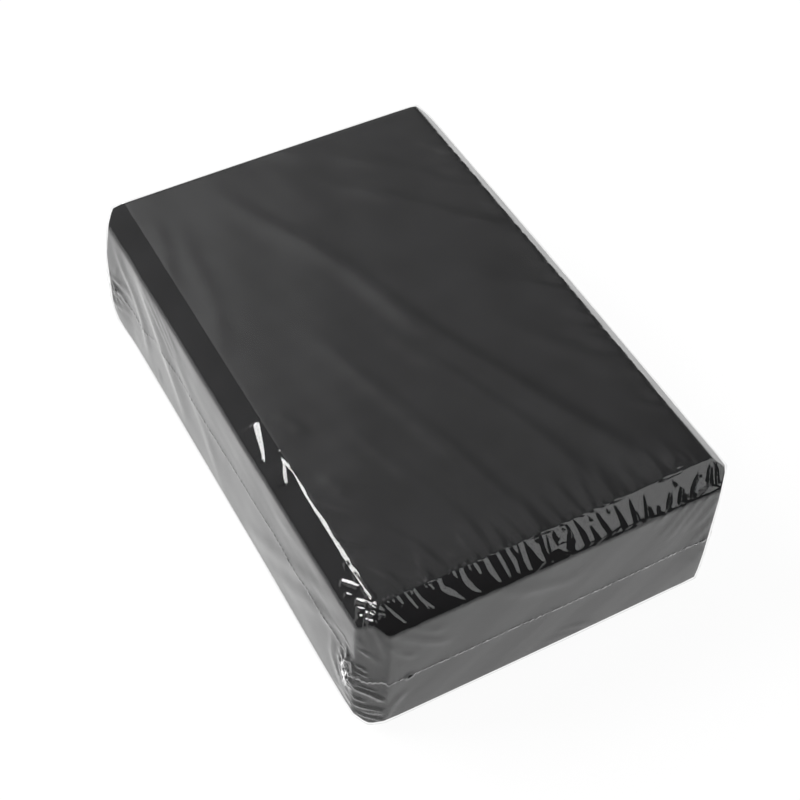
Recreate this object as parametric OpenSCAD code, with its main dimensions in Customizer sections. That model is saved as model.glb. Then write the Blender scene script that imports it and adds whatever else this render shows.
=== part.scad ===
// Exercise block of black closed-cell foam, sealed in a clear shrink film.
// Origin: centre of the underside. X runs along the length, Y across the width, Z up.

/* [Foam block] */
// Length of the foam block
block_l = 228; // [150:1:300]
// Width of the foam block
block_w = 147; // [90:1:200]
// Height of the foam block
block_h = 71; // [40:1:120]
// Leg of the 45 degree chamfer on every edge of the block
chamfer = 8; // [2:0.5:15]

/* [Shrink film] */
// Thickness of the film, drawn heavier than the real one so that it is a sound solid
film_t = 0.3; // [0.2:0.05:1]
// Width of the ridge that the trim seal leaves
seal_w = 1.2; // [0.6:0.1:3]
// How far the ridge of the trim seal stands out of the film
seal_h = 0.4; // [0.2:0.05:1]
// Diameter of the lump of shrunken film where two seals cross at a corner
gather_d = 10; // [4:0.5:11]
// How far that lump stands out of the chamfered corner
gather_h = 1; // [0.4:0.1:2]

/* [Vent holes] */
// Diameter of the vent holes that let the air out while the film shrinks
vent_d = 1.4; // [0.8:0.1:3]
// Distance of the front vent, which lies on the seal, from the -Y side of the block
front_vent_in = 16.5; // [10:0.5:60]
// Distance of the first side vent, which lies on the seal, from the -X end of the block
side_vent_in = 16; // [10:0.5:60]
// Spacing of the two side vents along the long side
side_vent_pitch = 5; // [3:0.5:10]
// How far the second side vent lies below the first
side_vent_drop = 4; // [0:0.5:8]

/* [Hidden] */
// Sides that a circle is drawn with
smooth = 48;
// Depth that a cutter reaches past each face of the film
overcut = 1;
foam_colour = [0.06, 0.06, 0.065];
film_colour = [0.75, 0.77, 0.8, 0.35];
film_l = block_l + 2 * film_t;
film_w = block_w + 2 * film_t;
film_h = block_h + 2 * film_t;
// A wall of even thickness round a 45 degree chamfer has a chamfer a little longer in the leg
film_chamfer = chamfer + film_t * (2 - sqrt(2));
// Height of the trim seal above the floor, half way up the block
seal_level = film_h / 2;
// Centre of a chamfered upright edge of the film, along X and along Y
corner_x = (film_l - film_chamfer) / 2;
corner_y = (film_w - film_chamfer) / 2;

// Rectangle with its four corners cut off at 45 degrees, centred
module cut_rectangle(length, width, leg) {
    x = length / 2;
    y = width / 2;
    polygon([
        [x - leg, -y], [x, leg - y], [x, y - leg], [x - leg, y],
        [leg - x, y], [-x, y - leg], [-x, leg - y], [leg - x, -y]
    ]);
}

// Box with all twelve edges chamfered, standing on z = 0 and centred in X and Y
module chamfered_box(length, width, height, leg) {
    intersection() {
        linear_extrude(height = height)
            cut_rectangle(length, width, leg);
        translate([0, width / 2, height / 2])
            rotate([90, 0, 0])
                linear_extrude(height = width)
                    cut_rectangle(length, height, leg);
        translate([-length / 2, 0, height / 2])
            rotate([90, 0, 90])
                linear_extrude(height = length)
                    cut_rectangle(width, height, leg);
    }
}

// The solid foam, with the thickness of the film below it
module foam_solid() {
    translate([0, 0, film_t])
        chamfered_box(block_l, block_w, block_h, chamfer);
}

// Ridge of the trim seal and the fold, right round the block
module seal_ridge() {
    translate([0, 0, seal_level - seal_w / 2])
        linear_extrude(height = seal_w)
            cut_rectangle(film_l + 2 * seal_h, film_w + 2 * seal_h, film_chamfer);
}

// Lump of film that two crossing seals draw together at an upright edge, on the side given by end
module corner_gather(end) {
    dome_r = (gather_d * gather_d / 4 + gather_h * gather_h) / (2 * gather_h);
    translate([end * corner_x, -corner_y, seal_level])
        rotate([0, 90, end > 0 ? -45 : -135])
            rotate_extrude($fn = smooth)
                intersection() {
                    translate([0, gather_h - dome_r])
                        circle(r = dome_r, $fn = 4 * smooth);
                    translate([0, -film_t])
                        square([gather_d / 2, gather_h + film_t]);
                }
}

// Cutter for a vent hole, starting inside the film and pointing along +Z
module vent_cutter() {
    translate([0, 0, -overcut])
        cylinder(d = vent_d, h = film_t + seal_h + 2 * overcut, $fn = smooth);
}

// Vent hole through the film of the front end
module front_vent() {
    translate([block_l / 2, front_vent_in - block_w / 2, seal_level])
        rotate([0, 90, 0])
            vent_cutter();
}

// Vent hole through the film of the long side: number 0 or 1, counted from the -X end
module side_vent(number) {
    translate([
        side_vent_in - block_l / 2 + number * side_vent_pitch,
        -block_w / 2,
        seal_level - number * side_vent_drop
    ])
        rotate([90, 0, 0])
            vent_cutter();
}

module foam_block() {
    color(foam_colour)
        foam_solid();
}

module shrink_film() {
    color(film_colour)
        difference() {
            union() {
                chamfered_box(film_l, film_w, film_h, film_chamfer);
                seal_ridge();
                for (end = [-1, 1])
                    corner_gather(end);
            }
            foam_solid();
            front_vent();
            for (number = [0, 1])
                side_vent(number);
        }
}

foam_block();
shrink_film();
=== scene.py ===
import math
import bmesh
import bpy
import numpy as np
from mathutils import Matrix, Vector


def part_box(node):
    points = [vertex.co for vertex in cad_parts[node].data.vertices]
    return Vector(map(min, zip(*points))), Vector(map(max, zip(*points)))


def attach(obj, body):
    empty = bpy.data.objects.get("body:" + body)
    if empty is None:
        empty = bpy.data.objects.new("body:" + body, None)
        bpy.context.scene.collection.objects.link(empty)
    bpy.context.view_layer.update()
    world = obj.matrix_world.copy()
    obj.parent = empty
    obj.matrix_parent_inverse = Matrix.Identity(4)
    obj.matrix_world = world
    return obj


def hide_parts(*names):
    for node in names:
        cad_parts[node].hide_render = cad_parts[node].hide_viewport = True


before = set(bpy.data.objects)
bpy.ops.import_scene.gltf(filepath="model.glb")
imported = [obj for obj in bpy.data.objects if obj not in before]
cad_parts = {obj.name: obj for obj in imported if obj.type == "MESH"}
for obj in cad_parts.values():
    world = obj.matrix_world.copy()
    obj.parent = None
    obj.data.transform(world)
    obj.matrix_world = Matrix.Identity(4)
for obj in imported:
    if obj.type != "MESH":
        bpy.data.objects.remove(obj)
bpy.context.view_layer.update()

# ---------------------------------------------------------------- sizes, in metres
MM = 0.001
foam_low, foam_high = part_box("foam_block")
FILM_GAP = foam_low.z                      # the film's own thickness, below the foam
CHAMFER = 8 * MM
HALF_L = foam_high.x + FILM_GAP            # half the length of the wrapped block
HALF_W = foam_high.y + FILM_GAP            # half its width
HALF_H = (foam_high.z - foam_low.z) / 2 + FILM_GAP
HALF = np.array([HALF_L, HALF_W, HALF_H])
MID_Z = (foam_high.z + foam_low.z) / 2     # height of the trim weld
FILM_CHAMFER = CHAMFER + FILM_GAP * (2 - math.sqrt(2))


def smooth_step(low, high, value):
    """0 on low's side, 1 on high's side and an even curve between them."""
    t = np.clip((value - low) / (high - low), 0.0, 1.0)
    return t * t * (3 - 2 * t)


# ---------------------------------------------------------------- camera, light and floor
def aim(thing, place, target, roll=0.0):
    """Puts a camera or a lamp at place, looking at target and rolled about its own view line."""
    turn = (Vector(target) - Vector(place)).to_track_quat("-Z", "Y").to_euler("XYZ")
    thing.location = place
    thing.rotation_euler = turn
    thing.rotation_euler.rotate_axis("Z", roll)


def make_camera():
    data = bpy.data.cameras.new("camera")
    data.lens = 75.9
    data.sensor_width = 36
    data.clip_start = 0.01
    data.clip_end = 60
    camera = bpy.data.objects.new("camera", data)
    bpy.context.collection.objects.link(camera)
    aim(camera, (0.3673, -0.2212, 0.5292), (0.0070, -0.0024, 0.0358), math.radians(3.0))
    bpy.context.scene.camera = camera


def direction(azimuth, elevation=0.0):
    """A direction given by a compass angle from +X towards +Y and a height, both in degrees."""
    a = math.radians(azimuth)
    e = math.radians(elevation)
    return Vector((math.cos(a) * math.cos(e), math.sin(a) * math.cos(e), math.sin(e)))


def upright_panel(name, azimuth, away, right, left, bottom, top, radiance):
    """An upright studio panel of even brightness, away from the block in the given direction.

    right and left are how far it reaches to either side of that direction, seen from the block.
    """
    data = bpy.data.lights.new(name, "AREA")
    data.shape = "RECTANGLE"
    data.size = left + right
    data.size_y = top - bottom
    data.energy = radiance * data.size * data.size_y * math.pi
    lamp = bpy.data.objects.new(name, data)
    bpy.context.collection.objects.link(lamp)
    facing = direction(azimuth)
    leftward = direction(azimuth + 90)
    place = facing * away + leftward * (left - right) / 2 + Vector((0, 0, (bottom + top) / 2))
    aim(lamp, place, place - facing)
    lamp.visible_camera = False


def ramp(nodes, links, value, low, high, start, end):
    """A smooth change from start to end as value goes from low to high."""
    node = nodes.new("ShaderNodeMapRange")
    node.interpolation_type = "SMOOTHSTEP"
    node.inputs["From Min"].default_value = low
    node.inputs["From Max"].default_value = high
    node.inputs["To Min"].default_value = start
    node.inputs["To Max"].default_value = end
    links.new(value, node.inputs["Value"])
    return node.outputs["Result"]


def math_node(nodes, links, operation, first, second):
    node = nodes.new("ShaderNodeMath")
    node.operation = operation
    links.new(first, node.inputs[0])
    links.new(second, node.inputs[1])
    return node.outputs["Value"]


def toward(nodes, links, place, way):
    """How nearly a direction in the studio points the given way, up to 1."""
    node = nodes.new("ShaderNodeVectorMath")
    node.operation = "DOT_PRODUCT"
    node.inputs[1].default_value = way
    links.new(place.outputs["Generated"], node.inputs[0])
    return node.outputs["Value"]


def studio_world():
    """A dim studio with a lighter wall beyond the -X end, and a plain pale ground for the camera."""
    world = bpy.data.worlds.new("studio")
    bpy.context.scene.world = world
    world.use_nodes = True
    nodes = world.node_tree.nodes
    links = world.node_tree.links
    nodes.clear()
    out = nodes.new("ShaderNodeOutputWorld")
    place = nodes.new("ShaderNodeTexCoord")
    toward_wall = toward(nodes, links, place, direction(180, 45))
    toward_key = toward(nodes, links, place, direction(235, 30))
    wall = ramp(nodes, links, toward_wall, 0.1, 0.6, 0.09, 0.31)
    middle = ramp(nodes, links, toward_wall, 0.65, 0.80, 0.0, 1.0)
    edge = ramp(nodes, links, toward_key, 0.16, 0.42, -0.10, 0.20)
    lighter = math_node(nodes, links, "MULTIPLY", middle, edge)
    glow = ramp(nodes, links, toward_wall, 0.93, 1.0, 0.0, 0.80)
    total = math_node(nodes, links, "ADD", wall, lighter)
    total = math_node(nodes, links, "ADD", total, glow)
    dim = nodes.new("ShaderNodeBackground")
    links.new(total, dim.inputs["Color"])
    pale = nodes.new("ShaderNodeBackground")
    pale.inputs["Color"].default_value = (0.99, 0.99, 0.99, 1)
    path = nodes.new("ShaderNodeLightPath")
    mix = nodes.new("ShaderNodeMixShader")
    links.new(path.outputs["Is Camera Ray"], mix.inputs["Fac"])
    links.new(dim.outputs["Background"], mix.inputs[1])
    links.new(pale.outputs["Background"], mix.inputs[2])
    links.new(mix.outputs["Shader"], out.inputs["Surface"])


def make_floor():
    """A large plain pale table top, lit evenly from within as a light table is."""
    bm = bmesh.new()
    bmesh.ops.create_grid(bm, x_segments=1, y_segments=1, size=8.0)
    floor = finished(bm, "floor")
    material = bpy.data.materials.new("pale_floor")
    material.use_nodes = True
    nodes = material.node_tree.nodes
    links = material.node_tree.links
    nodes.clear()
    out = nodes.new("ShaderNodeOutputMaterial")
    glow = nodes.new("ShaderNodeEmission")
    glow.inputs["Color"].default_value = (1, 1, 1, 1)
    glow.inputs["Strength"].default_value = 0.95
    matt = nodes.new("ShaderNodeBsdfDiffuse")
    matt.inputs["Color"].default_value = (0.04, 0.04, 0.04, 1)
    both = nodes.new("ShaderNodeAddShader")
    links.new(glow.outputs["Emission"], both.inputs[0])
    links.new(matt.outputs["BSDF"], both.inputs[1])
    links.new(both.outputs["Shader"], out.inputs["Surface"])
    floor.data.materials.append(material)


def finished(bm, name):
    """The object made from a bmesh, smooth shaded."""
    mesh = bpy.data.meshes.new(name)
    bm.to_mesh(mesh)
    bm.free()
    mesh.polygons.foreach_set("use_smooth", [True] * len(mesh.polygons))
    piece = bpy.data.objects.new(name, mesh)
    bpy.context.collection.objects.link(piece)
    return piece


make_camera()
studio_world()
make_floor()
upright_panel("key_panel", -128, 1.8, 0.75, 0.75, 1.00, 2.90, 17.0)
upright_panel("low_key_panel", -148, 1.8, 0.25, 0.25, 0.58, 1.12, 17.0)
upright_panel("grey_panel", 30, 1.2, 0.11, 2.60, 0.47, 2.70, 2.3)
bpy.context.scene.view_settings.view_transform = "Standard"


# ---------------------------------------------------------------- block shape
def block_planes(half, leg):
    """Normals and offsets of the 18 faces of a box with every edge chamfered, about its own centre."""
    normals = []
    offsets = []
    for axis in range(3):
        for side in (-1, 1):
            n = np.zeros(3)
            n[axis] = side
            normals.append(n)
            offsets.append(half[axis])
    for first, second in ((0, 1), (0, 2), (1, 2)):
        for side_a in (-1, 1):
            for side_b in (-1, 1):
                n = np.zeros(3)
                n[first] = side_a
                n[second] = side_b
                normals.append(n / math.sqrt(2))
                offsets.append((half[first] + half[second] - leg) / math.sqrt(2))
    return np.array(normals), np.array(offsets)


def sliced_block(half, leg, pitch):
    """A closed mesh of the chamfered block about its own centre, cut into cells of about pitch."""
    bm = bmesh.new()
    bmesh.ops.create_cube(bm, size=2.0)
    bmesh.ops.scale(bm, vec=half, verts=bm.verts)
    normals, offsets = block_planes(half, leg)
    for n, offset in zip(normals[6:], offsets[6:]):
        whole = bm.verts[:] + bm.edges[:] + bm.faces[:]
        cut = bmesh.ops.bisect_plane(
            bm, geom=whole, dist=1e-7, plane_co=n * offset, plane_no=n, clear_outer=True
        )
        rim = [e for e in cut["geom_cut"] if isinstance(e, bmesh.types.BMEdge)]
        bmesh.ops.holes_fill(bm, edges=rim, sides=0)
    for axis in range(3):
        n = np.eye(3)[axis]
        flat = half[axis] - leg
        count = 2 * int(round(flat / pitch))
        inner = np.linspace(-flat, flat, count + 1)
        outer = flat + leg * np.array([1 / 3, 2 / 3])
        for place in np.concatenate([-outer[::-1], inner, outer]):
            whole = bm.verts[:] + bm.edges[:] + bm.faces[:]
            bmesh.ops.bisect_plane(bm, geom=whole, dist=1e-6, plane_co=n * place, plane_no=n)
    many = [f for f in bm.faces if len(f.verts) > 4]
    bmesh.ops.triangulate(bm, faces=many)
    return bm


def refine(bm, wanted):
    """Halves the cells whose middle, in millimetres, the test wanted accepts."""
    edges = {e for f in bm.faces if wanted(*(f.calc_center_median() / MM)) for e in f.edges}
    bmesh.ops.subdivide_edges(bm, edges=list(edges), cuts=1, use_grid_fill=True)


def rounded(points, half, leg, sharpness):
    """Moves points of the chamfered block on to the same block with softly rounded edges.

    sharpness, in 1/m, is high for a crisp edge. Returns the new points and their outward directions.
    """
    normals, offsets = block_planes(half, leg)
    new = points.copy()
    for _ in range(4):
        away = new @ normals.T - offsets
        most = away.max(1, keepdims=True)
        share = np.exp(sharpness[:, None] * (away - most))
        total = share.sum(1, keepdims=True)
        level = most[:, 0] + np.log(total[:, 0]) / sharpness
        share /= total
        slope = share @ normals
        new -= slope * (level / (slope**2).sum(1))[:, None]
    return new, slope / np.linalg.norm(slope, axis=1, keepdims=True)


def bowed(points):
    """The soft block as the tight film leaves it: its sides bulge and its corners draw in."""
    x, y, z = (points / HALF).T
    far_bag = smooth_step(1.75, 1.93, -x - y) * smooth_step(0.95, 0.3, np.abs(z + 0.1))
    right_bag = smooth_step(1.7, 1.9, x + y) * smooth_step(1.0, 0.4, np.abs(z))
    low_bulge = smooth_step(0.2, 0.8, x) * smooth_step(0.3, -0.4, z)
    plus_x = 0.4 + 0.35 * y - 0.3 * y**2 + 0.5 * right_bag
    minus_x = 0.65 + 0.2 * y - 0.35 * y**2 + 1.8 * far_bag
    plus_y = 0.8 - 0.65 * x**2 + 0.5 * right_bag
    minus_y = 1.2 * smooth_step(-1.0, 0.5, x) - 0.25 + 1.8 * far_bag + 0.8 * low_bulge
    grow = np.stack([
        x * np.where(x > 0, plus_x, minus_x),
        y * np.where(y > 0, plus_y, minus_y),
        np.maximum(z, 0) * (0.5 * (1 - x**2) * (1 - y**2) - 0.2),
    ], axis=1)
    return points + grow * MM


def points_of(piece):
    co = np.zeros(len(piece.data.vertices) * 3)
    piece.data.vertices.foreach_get("co", co)
    return co.reshape(-1, 3)


def move_points(piece, points):
    piece.data.vertices.foreach_set("co", points.astype(np.float32).ravel())
    piece.data.update()


# ---------------------------------------------------------------- folds of the film, in millimetres
def beside(u, v, path):
    """How far each point (u, v) lies to the left of a path, and which part of the path it is at."""
    path = np.array(path, float)
    lengths = np.linalg.norm(np.diff(path, axis=0), axis=1)
    best = np.full(len(u), 1e9)
    across = np.zeros(len(u))
    part = np.zeros(len(u))
    start = 0.0
    for a, b, length in zip(path[:-1], path[1:], lengths):
        du, dv = (b - a) / length
        along = np.clip((u - a[0]) * du + (v - a[1]) * dv, 0, length)
        to_u = u - a[0] - along * du
        to_v = v - a[1] - along * dv
        away = np.hypot(to_u, to_v)
        nearer = away < best
        best = np.where(nearer, away, best)
        across = np.where(nearer, np.sign(to_v * du - to_u * dv) * away, across)
        part = np.where(nearer, (start + along) / lengths.sum(), part)
        start += length
    return across, part


def pleat(u, v, path, widths, slope, tail):
    """A fold with a steep flank along the path, high on its left and dying away over tail.

    widths are those of the flank at the start, the middle and the end of the path. A narrow
    flank is made steeper, as its edges round it off.
    """
    across, part = beside(u, v, path)
    width = np.interp(part, (0.0, 0.5, 1.0), widths)
    slope = slope * (1 + 0.4 / width)
    length = np.linalg.norm(np.diff(np.array(path, float), axis=0), axis=1).sum()
    tail = min(tail, 0.5 * length)
    up = np.clip(across / width + 0.5, 0, 1)
    ends = smooth_step(0.0, 0.12, part) * smooth_step(1.0, 0.88, part)
    return slope * width * up * np.exp(-np.maximum(across - width / 2, 0) / tail) * ends


def ridge(u, v, path, rise, left, right):
    """A soft ridge along the path, whose left and right flanks reach the given distances."""
    across, part = beside(u, v, path)
    reach = np.where(across > 0, left, right)
    ends = smooth_step(0.0, 0.3, part) * smooth_step(1.0, 0.7, part)
    return rise * np.exp(-((across / reach) ** 2)) * ends


# Along the front chamfer: (distance from the middle, distance down from the top edge).
# The first group are narrow flanks that catch the panel, each with its widths at top, middle, end.
CATCHING = [
    ([(-65, 0), (-62.5, 5), (-59.5, 10)], (0.6, 0.9, 0.5)),
    ([(-63.5, -1), (-63, 1.5)], (0.4, 0.5, 0.2)),
    ([(-62, -1), (-61, 2)], (0.4, 0.6, 0.2)),
    ([(-60, -1), (-58.5, 3.5)], (0.7, 1.0, 0.4)),
    ([(-57.2, -1), (-55.5, 3.5), (-54, 7)], (0.6, 1.0, 0.3)),
    ([(-55, -1), (-54.5, 1.5)], (0.4, 0.5, 0.3)),
    ([(-54, -1), (-52, 4.5), (-48.5, 9)], (0.7, 1.0, 0.3)),
    ([(-52, 4.5), (-50.7, 8.5)], (0.3, 0.5, 0.3)),
    ([(-50, -1), (-49, 1.5)], (0.3, 0.5, 0.2)),
    ([(-48.6, -1), (-46.8, 2.8)], (0.6, 0.9, 0.4)),
    ([(-44.5, -1), (-44, 3.5), (-40.5, 7), (-37.5, 10.5)], (1.0, 2.2, 0.3)),
    ([(-38.8, -1), (-38.2, 2.5)], (0.6, 1.1, 0.4)),
    ([(-36, -1), (-35.7, 4), (-34, 7.5), (-31.3, 10.5)], (1.3, 2.0, 0.3)),
    ([(-33.4, -1), (-32.6, 1.8)], (0.4, 0.6, 0.3)),
    ([(-31, -1), (-29.7, 4.6)], (0.8, 1.4, 0.5)),
    ([(-26.7, -1), (-26.2, 4), (-23.7, 10.5)], (1.4, 2.0, 0.5)),
    ([(-22.2, -1), (-21, 4.5), (-20, 10.5)], (1.0, 1.3, 0.5)),
    ([(-18.6, -1), (-17, 5), (-16.8, 10.5)], (1.3, 1.6, 0.8)),
    ([(-15.6, -1), (-14.8, 3)], (0.6, 1.1, 0.3)),
    ([(-12.7, -1), (-13, 6), (-12.2, 11)], (1.7, 1.8, 1.2)),
]
# The second group are slits that turn away from the panel, in the part that faces it.
TURNING = [
    ([(-12, 0), (-10.7, 4), (-10.2, 7.5), (-9, 11)], (0.4, 2.6, 5.0)),
    ([(-5, 0), (-5.8, 5), (-5.2, 11)], (0.5, 1.6, 2.2)),
    ([(-0.2, 0.5), (-0.4, 6.2)], (0.3, 1.9, 0.3)),
    ([(-4.5, 8), (-1.5, 8.4), (2, 10.6)], (3.0, 3.6, 1.0)),
    ([(4.8, 0), (5.4, 3), (3, 8), (2, 11)], (0.5, 1.6, 1.2)),
    ([(3.3, 1), (3.3, 2.2)], (0.3, 0.5, 0.3)),
    ([(8, 0), (9.8, 5), (10.6, 11)], (0.5, 1.9, 2.4)),
    ([(14, 1), (14, 3)], (0.4, 0.7, 0.4)),
    ([(13.3, 4), (14, 7.5), (14.8, 11)], (0.8, 1.6, 3.0)),
    ([(17, 0.5), (18, 5), (20.2, 11)], (0.5, 2.0, 2.0)),
    ([(21.2, 1), (21.2, 3)], (0.4, 0.7, 0.4)),
    ([(24.2, 1), (25, 5), (25.7, 11)], (0.5, 1.7, 2.8)),
    ([(30.4, 1), (30.2, 5), (29.9, 11)], (0.4, 1.7, 1.8)),
    ([(36.2, 1.5), (35.4, 5.5), (34, 11)], (0.4, 1.2, 1.5)),
    ([(39.9, 7), (39, 9.8)], (0.3, 0.5, 0.4)),
    ([(46, 4.6), (44.5, 7.4), (42.8, 10)], (0.5, 0.9, 0.8)),
    ([(48.5, 1.3), (48.5, 4)], (0.4, 0.7, 0.4)),
    ([(51, 4.2), (49.6, 7), (48, 10)], (0.7, 1.3, 1.4)),
    ([(51.8, 7), (51.5, 9)], (0.4, 0.8, 0.5)),
    ([(59.8, 2), (56, 5.5), (52.5, 10)], (0.6, 1.2, 1.3)),
    ([(64.3, 1.2), (62, 5), (60.3, 7.6)], (0.5, 1.0, 1.6)),
    ([(66.3, 1), (65.2, 5.5), (64, 9)], (0.4, 0.7, 0.9)),
    ([(55, 10.4), (58, 9.3), (61, 8)], (0.5, 1.5, 1.5)),
]


def front_chamfer_folds(x, y, z):
    """The row of small upright pleats along the chamfer at the +X end."""
    down = (x - (HALF_L - FILM_CHAMFER) / MM + HALF_H / MM - z) * math.sqrt(0.5)
    height = np.zeros(len(x))
    for path, widths in CATCHING:
        height += pleat(y, down, path, np.array(widths) * 1.15, 0.08 - 0.0018 * path[0][0], 3.0)
    for path, widths in TURNING:
        tail = 2.0 if max(widths) > 1.25 else 0.6
        height += pleat(y, down, path[::-1], widths[::-1], 0.13 + 0.0022 * path[0][0], tail)
    return height * smooth_step(-4, -1, down) * smooth_step(16, 12, down)


# Along the chamfer of the -Y side: (distance along X, distance down from the top edge).
BRIGHT = [
    ([(17.5, 2.6), (20, 3.6), (30.5, 7.3)], (2.4, 2.1, 0.9)),
    ([(29.5, 7), (32.3, 8.7)], (0.5, 1.1, 0.5)),
    ([(33, 0.6), (34.3, 1.3)], (0.4, 0.6, 0.4)),
    ([(35.5, 2.3), (40, 1.8), (45, 0.9), (49, 1.1)], (0.5, 0.6, 0.4)),
    ([(46, 1.3), (52, 1.6), (62, 1.7), (74, 1.7), (84, 1.7), (94, 1.6), (110, 1.5)], (0.5, 1.2, 2.0)),
    ([(92, 1.6), (97, 1.2), (104, 0.8)], (0.4, 1.0, 1.2)),
    ([(102, 3.4), (105, 2.4), (108, 1.2)], (0.6, 1.1, 0.6)),
    ([(105.5, 5), (107, 3.6), (109, 2.2)], (0.5, 0.8, 0.5)),
    ([(38.5, 1.9), (46.5, 5.8)], (0.7, 1.5, 0.6)),
    ([(86.2, 1.5), (85.4, 4)], (0.6, 0.9, 0.3)),
    ([(91.5, 1.3), (90.8, 2.8)], (0.5, 0.8, 0.3)),
    ([(96.5, 2.6), (92.5, 5), (88.6, 7.8)], (1.0, 1.4, 1.0)),
    ([(96.3, 7), (93.4, 8.8)], (0.4, 0.7, 0.4)),
    ([(103, 3), (98, 6.8)], (1.0, 1.5, 0.6)),
    ([(104, 5.5), (100.5, 7.8)], (0.6, 1.2, 0.6)),
    ([(105, 7.7), (102.5, 9)], (0.4, 0.8, 0.4)),
    ([(108.5, 3), (104, 6.5)], (0.8, 1.4, 0.5)),
    ([(109.5, 5), (105.5, 8)], (0.5, 1.0, 0.5)),
]


def side_chamfer_folds(x, y, z):
    """The bright bridge of film along the chamfer of the -Y side and the folds that cross it."""
    down = 1 + (-y - (HALF_W - FILM_CHAMFER) / MM + HALF_H / MM - z) * math.sqrt(0.5)
    height = np.zeros(len(x))
    for path, widths in BRIGHT:
        forward = path if path[-1][0] > path[0][0] else path[::-1]
        wide = widths if forward is path else widths[::-1]
        steep = 0.24 if path[0][0] < 85 else 0.30
        height += pleat(x, down, forward, wide, steep, 5.0 if path[0][0] < 85 else 1.8)
    return height * smooth_step(-4, -1, down) * smooth_step(16, 12, down)


# On the top face: (x, y) points, how high, and how far the flanks reach to the left and the right.
TOP_FOLDS = [
    ([(150, 60), (95, 44), (52, 25), (2, 5), (-31, -3), (-51, -11), (-110, -40)], 0.26, 5.0, 3.0),
    ([(150, 32), (112, 27), (69, 17), (35, 6), (-10, -12)], 0.18, 4.0, 2.5),
    ([(150, 4), (110, -3), (82, -9), (59, -14), (31, -21), (-20, -34)], 0.20, 4.0, 2.5),
    ([(10, 84), (-12, 68), (-31, 55), (-43, 45), (-64, 27), (-86, 5)], 0.22, 4.0, 2.5),
    ([(-30, 86), (-46, 68), (-58, 55), (-76, 40), (-93, 22), (-118, -20)], 0.20, 4.0, 2.5),
    ([(-72, 84), (-80, 68), (-90, 52), (-102, 30), (-112, 4)], 0.14, 3.0, 2.0),
    ([(42, 88), (22, 68), (5, 50), (-16, 30), (-50, 8)], 0.12, 4.0, 3.0),
    ([(84, 84), (60, 66), (40, 48), (10, 30)], 0.14, 4.0, 3.0),
    ([(140, -16), (108, -22), (80, -28), (30, -42)], 0.14, 3.0, 2.0),
    ([(46, -80), (56, -69), (70, -57), (90, -46), (110, -38), (130, -34)], 0.16, 2.5, 1.8),
    ([(62, -84), (72, -69), (84, -58), (104, -48), (124, -40)], 0.14, 2.0, 1.5),
    ([(80, -82), (88, -66), (104, -54), (120, -46)], 0.12, 1.8, 1.3),
    ([(-4, -69), (-39, -58), (-73, -54), (-95, -50)], 0.12, 4.0, 3.0),
    ([(-52, -69), (-74, -62), (-96, -58)], 0.10, 3.5, 2.5),
    ([(18, -62), (25, -57), (33, -55)], 0.08, 2.0, 1.5),
    ([(50, -60), (57, -56), (64, -55)], 0.08, 2.0, 1.5),
    ([(104, 66), (98, 55), (108, 40)], 0.12, 4.0, 3.0),
]


def top_folds(x, y, rng):
    """Long soft folds across the top and short ones that start from its edges."""
    height = np.zeros(len(x))
    for path, rise, left, right in TOP_FOLDS:
        height += ridge(x, y, path, 1.8 * rise, left, 1.4 * right)
    height += pleat(x, y, [(104.5, 50), (103.5, 58)], (0.5, 3.5, 0.5), 0.26, 6.0)
    for start in np.arange(-88, 84, 5.5):
        place = start + rng.uniform(-2, 2)
        length = rng.uniform(8, 26)
        lean = math.radians(rng.uniform(48, 62))
        end = (place - length * math.cos(lean), 68 - length * math.sin(lean))
        height += ridge(x, y, [(place + 9, 82), (place, 67), end], rng.uniform(0.20, 0.60), 1.6, 1.1)
    for start in np.arange(-60, 66, 4.5):
        place = start + rng.uniform(-1.5, 1.5)
        length = rng.uniform(6, 24)
        lean = math.radians(rng.uniform(-12, 16))
        end = (106 - length * math.cos(lean), place - length * math.sin(lean))
        height += ridge(x, y, [(124, place + 3), (106, place), end], rng.uniform(0.12, 0.40), 1.6, 1.1)
    return height


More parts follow.
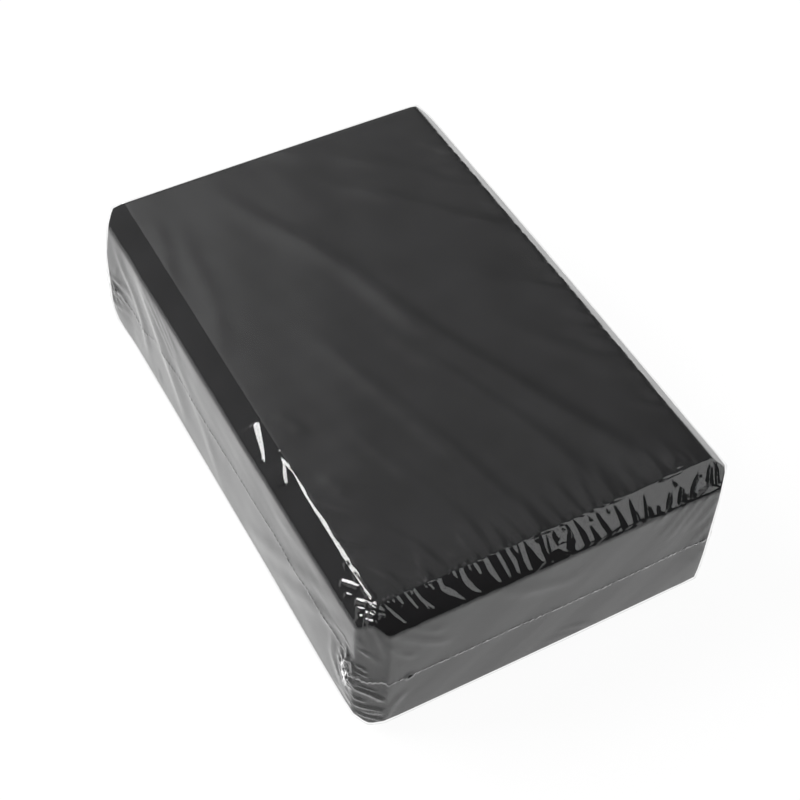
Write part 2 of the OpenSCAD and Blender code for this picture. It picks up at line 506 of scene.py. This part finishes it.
# On the -Y side: (x, z) points, how high, and the reach of the flanks.
SIDE_FOLDS = [
    ([(-101, 64), (-91, 51), (-81, 43.5), (-75, 36), (-73, 28), (-73, 14)], 0.40, 4.0, 2.5),
    ([(-82, 66), (-64, 50), (-53, 39), (-42, 28), (-33, 14)], 0.45, 7.0, 3.5),
    ([(-56, 62), (-29, 42), (-16, 33), (-7, 22), (3, 10)], 0.20, 5.0, 3.5),
    ([(12, 10), (23, 16), (50, 34), (69, 46.5), (100, 66)], 0.45, 3.5, 5.0),
    ([(38, 12), (47, 17.5), (69, 34), (90, 46.5), (108, 62)], 0.45, 3.5, 5.0),
    ([(40, 54), (54, 57), (72, 60), (90, 60)], 0.15, 3.0, 3.0),
    ([(-76, 62), (-64, 58), (-49, 50), (-40, 44)], 0.20, 1.5, 1.2),
    ([(-68, 64), (-55, 58), (-42, 50)], 0.20, 1.5, 1.2),
    ([(-58, 63), (-46, 58), (-36, 52)], 0.15, 1.3, 1.0),
    ([(-109, 38), (-102, 38), (-90, 40.5), (-80, 40)], 0.35, 1.6, 1.2),
    ([(-110, 30), (-103, 34.5), (-94, 34), (-90, 32)], 0.40, 1.2, 1.0),
    ([(-108, 22), (-98, 24), (-88, 30)], 0.25, 2.0, 1.5),
    ([(-70, 10), (-62, 16), (-60, 22)], 0.20, 2.0, 1.5),
    ([(84, 43), (92, 47.5), (99, 49), (105, 46)], 0.16, 0.8, 0.6),
    ([(96, 44), (92, 38), (92, 28), (98, 20.5), (108, 19)], 0.40, 1.0, 2.5),
    ([(108, 16), (98, 16), (90, 12)], 0.30, 1.2, 1.2),
    ([(108, 11), (96, 10), (86, 9)], 0.25, 1.2, 1.2),
    ([(80, 40), (90, 42), (98, 42)], 0.12, 0.9, 0.9),
    ([(100, 46), (102.5, 42), (101, 36), (103.5, 31), (101.5, 26)], 0.90, 0.8, 0.6),
    ([(104.5, 43), (106, 38), (104.5, 33), (106, 28)], 0.80, 0.7, 0.6),
    ([(99, 38), (100.5, 33), (99.5, 28)], 0.50, 0.7, 0.6),
]
# On the +X end: (y, z) points, the same way.
END_FOLDS = [
    ([(52, 66), (46, 56), (41, 48)], 0.22, 1.3, 0.9),
    ([(57, 66), (50, 54), (44, 44)], 0.25, 1.4, 1.0),
    ([(62, 66), (55, 54), (50, 46)], 0.25, 1.3, 0.9),
    ([(67, 62), (61, 52), (56, 44)], 0.22, 1.3, 1.0),
    ([(70, 54), (62, 42), (57, 35)], 0.28, 1.4, 1.0),
    ([(70, 46), (65, 38), (62, 32)], 0.22, 1.0, 0.8),
    ([(44, 66), (38, 58)], 0.15, 1.2, 1.0),
    ([(-66, 66), (-58, 56), (-50, 49), (-40, 42)], 0.30, 1.6, 1.2),
    ([(-60, 66), (-53, 58), (-44, 52)], 0.22, 1.4, 1.0),
    ([(-68, 60), (-62, 50), (-56, 43)], 0.20, 1.4, 1.0),
    ([(-30, 66), (-14, 54), (2, 49), (14, 50)], 0.20, 3.5, 2.5),
    ([(-68, 8), (-64, 18), (-58, 26)], 0.22, 2.0, 1.5),
    ([(-2, 14), (8, 12), (18, 8)], 0.15, 1.2, 1.0),
    ([(2, 17), (12, 15), (24, 9)], 0.15, 1.2, 1.0),
    ([(70, 18), (66, 26), (62, 31)], 0.22, 1.2, 1.0),
    ([(70, 10), (65, 20), (58, 28)], 0.20, 1.2, 1.0),
]
# Round the near upright corner: (distance across its chamfer, z) points, the same way.
CORNER_FOLDS = [
    ([(-3, 27), (1, 27), (6, 26), (12, 23)], 0.70, 1.2, 1.6),
    ([(-3, 22), (1, 20.5), (4, 20)], 0.50, 0.9, 0.9),
    ([(-3, 17), (3, 16), (8, 17), (13, 18)], 0.60, 1.2, 1.0),
    ([(1, 13), (6, 14), (12, 16.5)], 0.50, 1.0, 0.9),
    ([(-2, 12.5), (3, 10.5), (8, 10.5), (13, 13)], 0.50, 1.0, 1.0),
    ([(0, 8), (6, 7), (12, 9)], 0.30, 1.0, 1.0),
    ([(-1, 30), (4, 29), (8, 28.5)], 0.35, 0.7, 0.7),
    ([(10, 30), (12, 26), (14, 20)], 0.35, 0.8, 0.8),
    ([(0, 51), (2.5, 51), (4, 48)], 0.45, 0.7, 0.7),
    ([(-1, 41), (2, 40.5), (3.5, 38)], 0.45, 0.7, 0.7),
    ([(-1, 38), (2, 37), (4, 35)], 0.40, 0.6, 0.6),
    ([(6, 66), (9, 56), (11, 48)], 0.25, 1.0, 1.0),
    ([(2, 66), (4, 56), (5, 50)], 0.20, 1.2, 1.0),
    ([(-1, 60), (3, 52), (8, 44)], 0.20, 1.5, 1.5),
]
# Where the seal wanders off the middle: (along the side, how far up).
SEAL_ON_SIDE = [
    (-114, -2), (-100, -3), (-80, -4), (-71, -3), (-62, 2.4), (-38, 4), (-12, 3.2),
    (15, 4), (44, 5), (60, 4.8), (90, 6), (99, 5), (105.5, 2),
    (109, -3.4), (112, 0), (114, 3),
]
SEAL_ON_END = [
    (-73, -4), (-68, -3.6), (-63, -2.2), (-40, -2.4), (-20, -2), (0, -2.3), (20, -2.6),
    (50, -1.6), (66, -1),
]
# Middles of the two lumps of film at the ends of the -Y side, in x, y and z, and how crushed they are.
GATHERS = [((102, -74, 33), 0.8), ((-105, -73, 31), 0.4)]
# The whitest part of the near lump, in x, y and z.
CRUSHED = (101, -74, 29)
# The two layers aren't joined along the weld: the lower one's edge lies this far behind the upper
# one's and this much higher.
LAP_BEHIND = 0.03
LAP_UP = 0.05
# How crisp the film's edges are, in 1/m: most of them, how much less low down, and how much more
# along the top edge of the -Y chamfer.
EDGE = 4000.0
LOW_EDGE_LESS = 1700.0
CRISP_EDGE_MORE = 16000
# The slack that lifts the whole film off the foam.
SLACK = 0.12
FOLD_SEED = 11
# The vent holes, in x, y and z.
VENTS = [(114.3, -57.3, 33.6), (-98.3, -73.8, 33), (-103, -73.8, 29)]


def fan(u, v, middle, spread, count, reach, rise, width, rng):
    """Fine folds that run out of a gathered spot between two angles in degrees."""
    height = np.zeros(len(u))
    for step in range(count):
        angle = math.radians(spread[0] + (spread[1] - spread[0]) * (step + rng.uniform(0.2, 0.8)) / count)
        bend = angle + rng.uniform(-0.25, 0.25)
        length = reach * rng.uniform(0.5, 1.0)
        half_way = (
            middle[0] + 0.5 * length * math.cos(angle),
            middle[1] + 0.5 * length * math.sin(angle),
        )
        end = (half_way[0] + 0.5 * length * math.cos(bend), half_way[1] + 0.5 * length * math.sin(bend))
        path = [middle, half_way, end]
        height += ridge(u, v, path, rise * rng.uniform(0.5, 1.0), width, width)
    return height


def upright_folds(x, y, z, out, rng):
    """Folds of the four upright sides, of the lumps at the corners and along the seal."""
    on_side = smooth_step(0.75, 0.95, -out[:, 1])
    on_end = smooth_step(0.75, 0.95, out[:, 0])
    height = np.zeros(len(x))
    for path, rise, left, right in SIDE_FOLDS:
        height += on_side * ridge(x, z, path, rise, left, right)
    for path, rise, left, right in END_FOLDS:
        height += on_end * ridge(y, z, path, rise, left, right)
    on_corner = smooth_step(0.45, 0.65, out[:, 0]) * smooth_step(0.45, 0.65, -out[:, 1])
    across = (x - (HALF_L - FILM_CHAMFER) / MM + y + HALF_W / MM) * math.sqrt(0.5)
    for path, rise, left, right in CORNER_FOLDS:
        height += on_corner * ridge(across, z, path, 0.9 * rise, left, right)
    height += on_side * fan(x, z, (-106, 32), (-70, 60), 7, 22, 0.16, 1.2, rng)
    height += on_end * fan(y, z, (72, 34), (150, 215), 5, 12, 0.20, 0.8, rng)
    return height


def far_folds(x, y, z, out, rng):
    """Folds of the +Y side and the -X end, which pull from the top corners and the seal."""
    on_back = smooth_step(0.75, 0.95, out[:, 1])
    on_far = smooth_step(0.75, 0.95, -out[:, 0])
    height = on_back * fan(x, z, (108, 50), (160, 240), 9, 60, 0.20, 2.0, rng)
    height += on_back * fan(x, z, (-108, 50), (-60, 20), 9, 60, 0.20, 2.0, rng)
    height += on_back * fan(x, z, (20, 4), (20, 160), 8, 60, 0.15, 3.0, rng)
    height += on_far * fan(y, z, (-69, 34), (-60, 60), 9, 40, 0.22, 1.6, rng)
    height += on_far * fan(y, z, (69, 36), (120, 240), 9, 40, 0.22, 1.6, rng)
    return height


def seal_folds(x, y, z, out):
    """The weld: a low shelf that drops off sharply below, uneven where it shrank."""
    along = x - y
    around = smooth_step(0.45, 0.65, np.maximum(np.abs(out[:, 0]), -out[:, 1]))
    uneven = 0.55 + 0.3 * np.sin(0.9 * along) * np.sin(0.23 * along) + 0.25 * np.sin(2.7 * along)
    rise = 0.20 * np.clip(uneven, 0.1, 1.2)
    below = np.clip(1 + z / 0.5, 0, 1)
    above = np.exp(-np.maximum(z, 0) / 0.6)
    puckers = np.exp(-((z / 2.5) ** 2)) * 0.04 * (1 + np.sin(2.7 * along))
    return around * (rise * below * above + puckers)


def crumple(x, y, z):
    """The crushed, looped film of the lumps where the seals cross."""
    height = np.zeros(len(x))
    for (mx, my, mz), rise in GATHERS:
        away = np.sqrt((x - mx) ** 2 + (y - my) ** 2 + (0.55 * (z - mz)) ** 2)
        lump = rise * smooth_step(8.0, 2.0, away)
        swirl = np.sin(0.9 * z + 2.0 * np.sin(0.5 * x) + 1.3 * np.sin(0.7 * y + 0.4 * z))
        fine = np.sin(2.1 * z - 0.8 * x + 1.7 * np.sin(0.9 * z))
        height += lump * (0.8 + 0.55 * swirl + 0.3 * fine)
    return height


def vent_rims(x, y, z):
    """The melted rim round each vent hole."""
    height = np.zeros(len(x))
    for vx, vy, vz in VENTS:
        away = np.sqrt((x - vx) ** 2 + (y - vy) ** 2 + (z - vz) ** 2)
        height += 0.3 * np.exp(-(((away - 1.3) / 0.5) ** 2))
    return height


def ripples(x, y, z):
    """The slack of the film between its folds, as slow shallow waves."""
    slow = np.sin(0.11 * x + 0.07 * y - 0.05 * z) * np.sin(0.05 * x - 0.12 * y + 0.13 * z + 1.0)
    quick = np.sin(0.31 * x - 0.23 * y + 0.27 * z) * np.sin(0.19 * x + 0.29 * y - 0.33 * z)
    return 0.10 * slow + 0.02 * quick


# ---------------------------------------------------------------- foam
def make_foam():
    half = HALF - FILM_GAP
    bm = sliced_block(half, CHAMFER, 6 * MM)
    piece = finished(bm, "foam")
    points = points_of(piece)
    new, _ = rounded(points, half, CHAMFER, np.full(len(points), 2000.0))
    move_points(piece, bowed(new) + np.array([0, 0, MID_Z]))
    return piece


def foam_material():
    """Black closed-cell foam: matt, finely grained and a little uneven in tone."""
    material = bpy.data.materials.new("black_foam")
    material.use_nodes = True
    nodes = material.node_tree.nodes
    links = material.node_tree.links
    shader = nodes["Principled BSDF"]
    shader.inputs["Roughness"].default_value = 0.9
    shader.inputs["Specular IOR Level"].default_value = 0.0
    place = nodes.new("ShaderNodeTexCoord")
    patches = nodes.new("ShaderNodeTexNoise")
    patches.inputs["Scale"].default_value = 60
    patches.inputs["Detail"].default_value = 6
    links.new(place.outputs["Object"], patches.inputs["Vector"])
    tone = nodes.new("ShaderNodeValToRGB")
    tone.color_ramp.elements[0].position = 0.3
    tone.color_ramp.elements[0].color = (0.008, 0.008, 0.0083, 1)
    tone.color_ramp.elements[1].position = 0.7
    tone.color_ramp.elements[1].color = (0.011, 0.011, 0.0115, 1)
    links.new(patches.outputs["Fac"], tone.inputs["Fac"])
    links.new(tone.outputs["Color"], shader.inputs["Base Color"])
    cells = nodes.new("ShaderNodeTexVoronoi")
    cells.inputs["Scale"].default_value = 1200
    links.new(place.outputs["Object"], cells.inputs["Vector"])
    grain = nodes.new("ShaderNodeBump")
    grain.inputs["Strength"].default_value = 0.04
    grain.inputs["Distance"].default_value = 0.0003
    links.new(cells.outputs["Distance"], grain.inputs["Height"])
    links.new(grain.outputs["Normal"], shader.inputs["Normal"])
    return material


foam = make_foam()
foam.data.materials.append(foam_material())
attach(foam, "root")
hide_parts("foam_block")


# ---------------------------------------------------------------- film
def film_cells():
    """The film's mesh about its own centre, finer where it is creased and split along the weld."""
    length, width, high = HALF / MM
    bm = sliced_block(HALF, FILM_CHAMFER, 3.2 * MM)
    refine(bm, lambda x, y, z: z > 1 - high and (z > high - 12 or y < width - 1) and x > 1 - length)

    def round_top(x, y, z):
        return z > high - 9 and (x > length - 10 or abs(y) > width - 10)

    def by_weld(x, y, z):
        return abs(z) < 2.2 and y < width - 6

    def by_gather(x, y, z):
        near = x > length - 12 and y < 12 - width and z > -28
        return near or (abs(z) < 15 and y < 20 - width and abs(x) > length - 20)

    def front_edge(x, y, z):
        return z > high - 9.5 and x > length - 9.5

    def side_edge(x, y, z):
        return z > high - 9.5 and y < 9.5 - width and x > 7

    def lump(x, y, z):
        return abs(z) < 12 and y < 12 - width and x > length - 17

    def by_vent(x, y, z):
        return min(abs(x - a) + abs(y - b) + abs(z + high - c) for a, b, c in VENTS) < 4

    refine(bm, lambda x, y, z: round_top(x, y, z) or by_weld(x, y, z) or by_gather(x, y, z))
    refine(bm, lambda x, y, z: (
        front_edge(x, y, z) or side_edge(x, y, z) or lump(x, y, z)
        or (by_weld(x, y, 2.4 * z) and x > 6 - length) or by_vent(x, y, z)
    ))
    refine(bm, lambda x, y, z: z > high - 8.2 and (
        (x > length - 8.2 and x < length - 0.5) or (y < 8.2 - width and x > 40 and z > high - 5)
    ))
    for e in bm.edges:
        on_edge = all(v.co.z > HALF_H - 1e-6 and v.co.y < FILM_CHAMFER - HALF_W + 1e-6 for v in e.verts)
        e.smooth = not (on_edge and e.verts[0].co.x < 104 * MM)
    weld = [
        e for e in bm.edges
        if max(abs(v.co.z) for v in e.verts) < 1e-6 and min(v.co.y for v in e.verts) < HALF_W - 1e-5
    ]
    bmesh.ops.split_edges(bm, edges=weld)
    tucked = bm.verts.layers.float.new("tucked")
    for v in bm.verts:
        v[tucked] = float(v.is_boundary and all(f.calc_center_median().z < 0 for f in v.link_faces))
    return bm


def edge_sharpness(start):
    """How crisp the film's edges are at each point of the block before it is rounded."""
    low = smooth_step(HALF_H - 1.5 * MM, HALF_H - 6 * MM, start[:, 2])
    low *= 1 - 0.9 * smooth_step(HALF_L - 10 * MM, HALF_L - 8 * MM, start[:, 0])
    crisp = CRISP_EDGE_MORE * smooth_step(106 * MM, 101 * MM, start[:, 0])
    crisp *= smooth_step(12 * MM - HALF_W, 10 * MM - HALF_W, start[:, 1])
    return EDGE - LOW_EDGE_LESS * low + crisp * (1 - low)


def take_mark(piece, name):
    """The values of one of a piece's marks, which is then removed."""
    values = np.zeros(len(piece.data.vertices), np.float32)
    mark = piece.data.attributes[name]
    mark.data.foreach_get("value", values)
    piece.data.attributes.remove(mark)
    return values


def film_marks(x, y, z, up, out, on_end, turning):
    """Where the film is welded, holed and crushed, from 0 to 1 at each point."""
    around = smooth_step(0.55, 0.75, np.maximum(np.abs(out[:, 0]), -out[:, 1]))
    along = x - y
    dashes = 0.6 + 0.4 * np.sin(0.9 * along) * np.sin(0.23 * along) + 0.3 * np.sin(2.1 * along)
    dashes = dashes * (1 - turning) + 1.4 * turning
    welded = np.exp(-(((z + 0.2) / 0.45) ** 2)) * around * dashes * (0.15 + 0.85 * on_end)
    away = [np.sqrt((x - a) ** 2 + (y - b) ** 2 + (up - c) ** 2) for a, b, c in VENTS]
    vented = smooth_step(1.1, 0.7, np.min(away, axis=0))
    cx, cy, cz = CRUSHED
    from_lump = np.sqrt(((x - cx) / 3.5) ** 2 + ((y - cy) / 7) ** 2 + ((up - cz) / 10) ** 2)
    return {"weld": welded, "vent": vented, "crushed": smooth_step(1.0, 0.3, from_lump)}


def make_film():
    piece = finished(film_cells(), "film")
    start = points_of(piece)
    tucked = take_mark(piece, "tucked")
    points, out = rounded(start, HALF, FILM_CHAMFER, edge_sharpness(start))
    x, y, z = points.T / MM
    rng = np.random.default_rng(FOLD_SEED)
    up = z + MID_Z / MM
    on_top = smooth_step(0.8, 0.98, out[:, 2])
    on_side = smooth_step(-0.2, -0.8, out[:, 1])
    on_end = smooth_step(0.2, 0.8, out[:, 0])
    share = np.maximum(on_side + on_end, 1.0)
    wander_side = np.interp(x, *np.array(SEAL_ON_SIDE, float).T)
    wander_end = np.interp(y, *np.array(SEAL_ON_END, float).T)
    wander = (on_side * wander_side + on_end * wander_end) / share
    shift = wander * np.exp(-((z / 14) ** 2))
    turn_start = (HALF_L - FILM_CHAMFER - HALF_W) / MM
    zigzag = np.abs((x + y - turn_start) / (FILM_CHAMFER / MM / 3) % 1 - 0.5) * 4 - 1
    shift += (0.15 + 0.6 * on_side * on_end) * zigzag * np.exp(-((z / 1.5) ** 2))
    across_x, across_y, _ = bowed(points).T / MM
    height = on_top * top_folds(across_x, across_y, rng)
    height += front_chamfer_folds(x, across_y, z)
    height += side_chamfer_folds(across_x, y, z)
    height += upright_folds(across_x, across_y, up + shift, out, rng)
    height += far_folds(x, y, up, out, rng)
    height += seal_folds(x, y, z, out)
    height += crumple(x, y, up + shift)
    height += vent_rims(x, y, up + shift)
    height += SLACK + ripples(x, y, z)
    height *= smooth_step(-HALF_H / MM + 0.5, -HALF_H / MM + 6, z)
    height -= LAP_BEHIND * tucked
    moved = bowed(points) + out * height[:, None] * MM
    moved[:, 2] += (shift + LAP_UP * tucked) * MM
    move_points(piece, moved + np.array([0, 0, MID_Z]))
    turning = smooth_step(0.3, 0.7, on_side * on_end)
    marks = film_marks(x, y, z, up + shift, out, on_end, turning)
    for name, value in marks.items():
        mark = piece.data.attributes.new(name, "FLOAT", "POINT")
        mark.data.foreach_set("value", value.astype(np.float32))
    return piece


def film_material():
    """Clear glossy film: it mirrors as its angle asks, lets the rest through and is cloudy where welded."""
    material = bpy.data.materials.new("clear_film")
    material.use_nodes = True
    nodes = material.node_tree.nodes
    links = material.node_tree.links
    nodes.clear()
    out = nodes.new("ShaderNodeOutputMaterial")
    place = nodes.new("ShaderNodeTexCoord")
    drawn = nodes.new("ShaderNodeTexNoise")
    drawn.inputs["Scale"].default_value = 350
    drawn.inputs["Detail"].default_value = 4
    links.new(place.outputs["Object"], drawn.inputs["Vector"])
    clear = nodes.new("ShaderNodeBsdfTransparent")
    gloss = nodes.new("ShaderNodeBsdfGlossy")
    links.new(ramp(nodes, links, drawn.outputs["Fac"], 0.3, 0.7, 0.03, 0.06), gloss.inputs["Roughness"])
    outer = nodes.new("ShaderNodeFresnel")
    outer.inputs["IOR"].default_value = 1.5
    inner = nodes.new("ShaderNodeFresnel")
    inner.inputs["IOR"].default_value = 1.25
    inner_face = nodes.new("ShaderNodeMixShader")
    links.new(inner.outputs["Fac"], inner_face.inputs["Fac"])
    links.new(clear.outputs["BSDF"], inner_face.inputs[1])
    links.new(gloss.outputs["BSDF"], inner_face.inputs[2])
    outer_face = nodes.new("ShaderNodeMixShader")
    links.new(outer.outputs["Fac"], outer_face.inputs["Fac"])
    links.new(inner_face.outputs["Shader"], outer_face.inputs[1])
    links.new(gloss.outputs["BSDF"], outer_face.inputs[2])
    milk = nodes.new("ShaderNodeBsdfDiffuse")
    milk.inputs["Color"].default_value = (0.8, 0.8, 0.8, 1)
    marks = []
    for name in ("weld", "vent", "crushed"):
        marks.append(nodes.new("ShaderNodeAttribute"))
        marks[-1].attribute_name = name
    welded, vented, crushed = marks
    crinkles = nodes.new("ShaderNodeTexNoise")
    crinkles.inputs["Scale"].default_value = 500
    crinkles.inputs["Detail"].default_value = 2
    links.new(place.outputs["Object"], crinkles.inputs["Vector"])
    white = ramp(nodes, links, crinkles.outputs["Fac"], 0.45, 0.6, 0.0, 1.0)
    white = math_node(nodes, links, "MULTIPLY", white, crushed.outputs["Fac"])
    cloudy = ramp(nodes, links, welded.outputs["Fac"], 0.2, 0.9, 0.0, 0.5)
    cloudy = math_node(nodes, links, "MAXIMUM", cloudy, white)
    film_face = nodes.new("ShaderNodeMixShader")
    links.new(cloudy, film_face.inputs["Fac"])
    links.new(outer_face.outputs["Shader"], film_face.inputs[1])
    links.new(milk.outputs["BSDF"], film_face.inputs[2])
    seen_from = nodes.new("ShaderNodeNewGeometry")
    both = nodes.new("ShaderNodeMixShader")
    gone = math_node(nodes, links, "MAXIMUM", seen_from.outputs["Backfacing"], vented.outputs["Fac"])
    links.new(gone, both.inputs["Fac"])
    links.new(film_face.outputs["Shader"], both.inputs[1])
    links.new(clear.outputs["BSDF"], both.inputs[2])
    links.new(both.outputs["Shader"], out.inputs["Surface"])
    return material


film = make_film()
film.data.materials.append(film_material())
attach(film, "root")
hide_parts("shrink_film")
